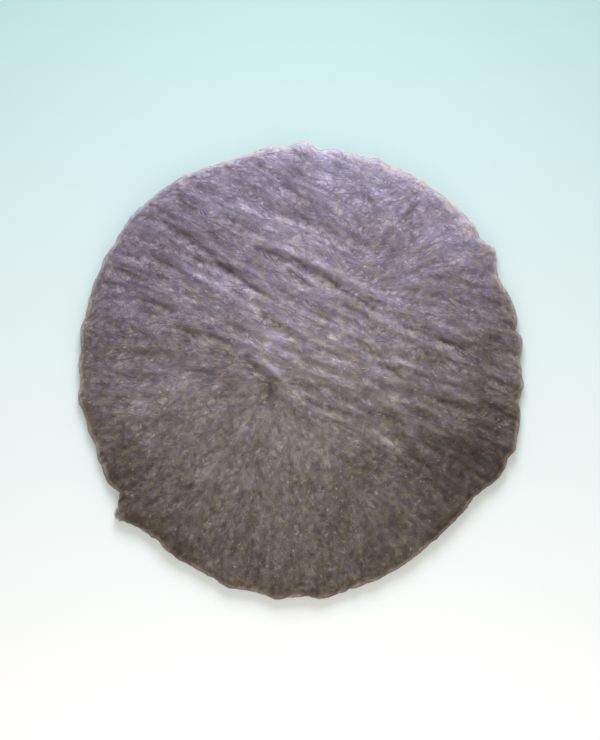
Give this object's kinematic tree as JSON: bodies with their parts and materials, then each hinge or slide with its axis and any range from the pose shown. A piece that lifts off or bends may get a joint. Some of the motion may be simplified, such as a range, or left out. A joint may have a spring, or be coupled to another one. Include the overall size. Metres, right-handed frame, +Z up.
{
  "type": "steel wool floor pad",
  "caption": "Round, flat pad of folded steel wool, its strands fanned out from a gather point under a band of long parallel strands, with creases and a rolled rim.",
  "frame": {"origin": "middle of the flat underside that the pad rests on", "axes": "+Z up through the face with the band of long strands, +Y towards the top of the pad as seen from above, +X to its right"},
  "size_m": [0.4317, 0.4368, 0.0261],
  "materials": {
    "steel_wool": "fine matted steel strands, satin, warm grey with pale glints along the strands"
  },
  "bodies": {
    "root": {"wool_pad": "steel_wool"}
  },
  "joints": []
}
